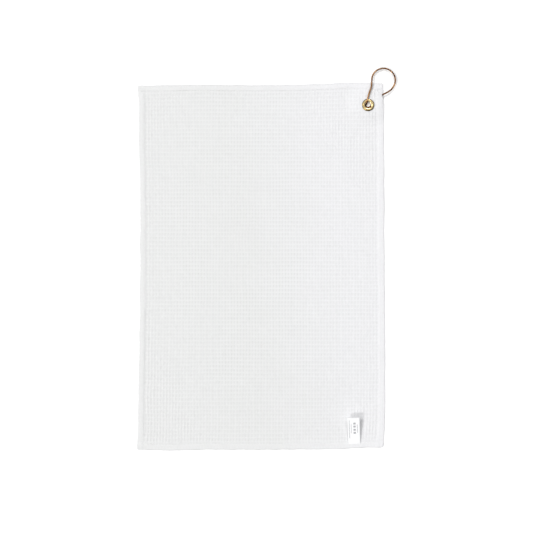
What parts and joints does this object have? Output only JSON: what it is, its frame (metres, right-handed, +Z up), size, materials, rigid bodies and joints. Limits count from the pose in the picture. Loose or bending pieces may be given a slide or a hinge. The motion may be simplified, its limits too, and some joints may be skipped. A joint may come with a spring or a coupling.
{
  "type": "golf towel",
  "caption": "Rectangular waffle-weave golf towel lying flat, with hemmed edges, a brass corner grommet, an open ring hook that swivels in it, and a folded care label.",
  "frame": {"origin": "centre of the towel panel, on its underside", "axes": "+X across the towel towards the grommet's side edge, +Y along the towel towards the grommet's end, +Z up out of the face that shows"},
  "size_m": [0.4282, 0.6369, 0.012],
  "materials": {
    "waffle_cloth": "matte white waffle-weave microfibre",
    "hem_cloth": "matte white microfibre, folded and sewn",
    "sewing_thread": "white polyester sewing thread",
    "brass": "polished yellow brass",
    "copper_wire": "polished copper-coloured plated wire",
    "label_ribbon": "smooth white satin ribbon"
  },
  "bodies": {
    "towel": {"towel_cloth": "waffle_cloth", "hem_bottom": "hem_cloth", "hem_right": "hem_cloth", "hem_top": "hem_cloth", "hem_left": "hem_cloth", "stitching_bottom": "sewing_thread", "stitching_right": "sewing_thread", "stitching_top": "sewing_thread", "stitching_left": "sewing_thread", "grommet_eyelet": "brass", "grommet_washer": "brass"},
    "hook": {"hook_wire": "copper_wire"},
    "label": {"care_label": "label_ribbon"}
  },
  "joints": [
    {"name": "hook_swivel", "type": "hinge", "parent": "towel", "child": "hook", "pos_m": [0.1786, 0.2697, 0.00465], "axis": [0, 0, 1], "continuous": true},
    {"name": "label_flap", "type": "hinge", "parent": "towel", "child": "label", "pos_m": [0.155, -0.2942, 0.00335], "axis": [0.9996, 0.0279, 0], "range_deg": [-12, 160]}
  ]
}
